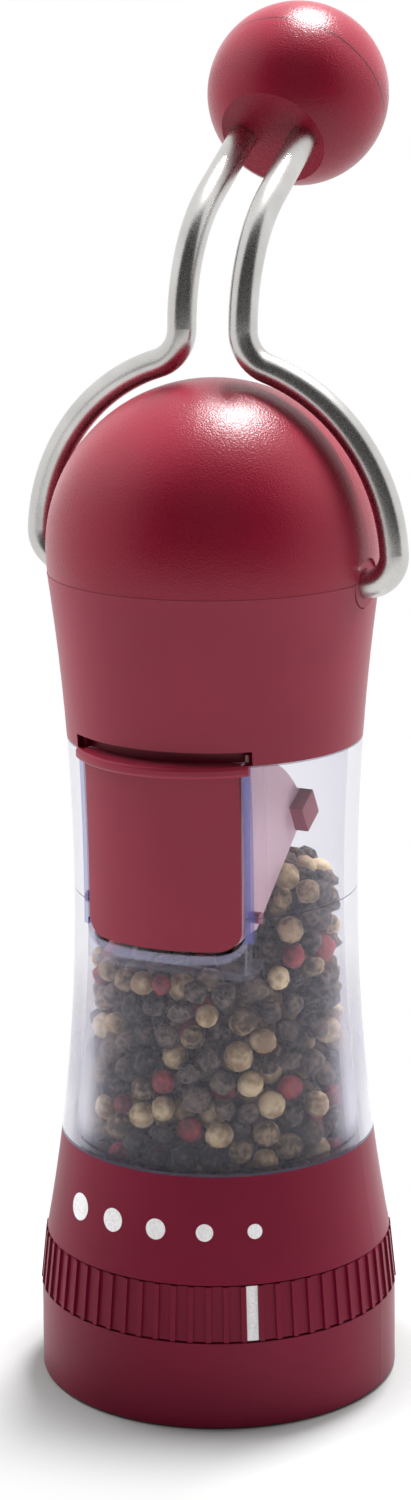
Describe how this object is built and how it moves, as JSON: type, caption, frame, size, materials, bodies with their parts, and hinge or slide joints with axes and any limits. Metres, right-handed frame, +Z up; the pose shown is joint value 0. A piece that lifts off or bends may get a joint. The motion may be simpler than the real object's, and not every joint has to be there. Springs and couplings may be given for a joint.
{
  "type": "pepper mill",
  "caption": "Hand pepper mill with a rocking wire bail handle and ball knob, domed cap, clear hourglass hopper with a tilt-out refill chute, and a ribbed grind adjuster ring above its foot.",
  "frame": {"origin": "centre of the foot's flat underside", "axes": "+Z up along the mill's axis and drive shaft, -Y out through the refill chute, X along the handle's axle"},
  "size_m": [0.0722, 0.0835, 0.2408],
  "materials": {
    "red_satin": "satin moulded ABS, raspberry red",
    "red_grained": "fine spark-eroded grain, raspberry red",
    "red_door": "smooth semi-gloss raspberry red",
    "clear_plastic": "polished clear acrylic",
    "wire_steel": "brushed stainless rod",
    "plain_steel": "plain zinc-plated steel",
    "gear_nylon": "natural nylon",
    "bearing_plastic": "red acetal",
    "ceramic": "white sintered ceramic"
  },
  "bodies": {
    "housing": {"base_foot": "red_satin", "foot_screws": "plain_steel", "base_housing": "red_satin", "clear_hopper": "clear_plastic", "upper_collar": "red_satin", "dome_cover": "red_grained", "dome_screws": "plain_steel", "left_pivot_bush": "bearing_plastic", "right_pivot_bush": "bearing_plastic", "upper_shaft_bush": "gear_nylon", "shaft_spider": "gear_nylon"},
    "handle": {"left_handle_wire": "wire_steel", "right_handle_wire": "wire_steel", "ball_lower_half": "red_grained", "ball_upper_half": "red_grained", "rocker_hub": "gear_nylon", "hub_pins": "plain_steel", "bevel_drive_gear": "gear_nylon"},
    "drive": {"drive_shaft": "plain_steel", "bevel_pinion": "gear_nylon", "pinion_pin": "plain_steel", "grinder_rotor": "ceramic", "rotor_washer": "plain_steel", "rotor_nut": "plain_steel"},
    "refill_chute": {"refill_door": "red_door"},
    "adjuster": {"adjuster_ring": "red_satin"},
    "stator": {"stator_carrier": "gear_nylon", "grinder_stator": "ceramic", "lift_pins": "plain_steel"}
  },
  "joints": [
    {"name": "handle_rock", "type": "hinge", "parent": "housing", "child": "handle", "pos_m": [0, 0, 0.1455], "axis": [1, 0, 0], "range_deg": [-20, 70]},
    {"name": "drive_spin", "type": "hinge", "parent": "housing", "child": "drive", "pos_m": [0, 0, 0.0205], "axis": [0, 0, 1], "range_deg": [-60.5, 210.5]},
    {"name": "refill_tilt", "type": "hinge", "parent": "housing", "child": "refill_chute", "pos_m": [0, -0.017, 0.0897], "axis": [1, 0, 0], "range_deg": [0, 40]},
    {"name": "adjuster_turn", "type": "hinge", "parent": "housing", "child": "adjuster", "pos_m": [0, 0, 0.0211], "axis": [0, 0, 1], "range_deg": [-68.4, 0]},
    {"name": "stator_lift", "type": "slide", "parent": "housing", "child": "stator", "axis": [0, 0, 1], "range_m": [0, 0.00121]}
  ],
  "couplings": [
    {"joint": "drive_spin", "follows": "handle_rock", "ratio": 3},
    {"joint": "stator_lift", "follows": "adjuster_turn", "m_per_rad": -0.0010052}
  ]
}
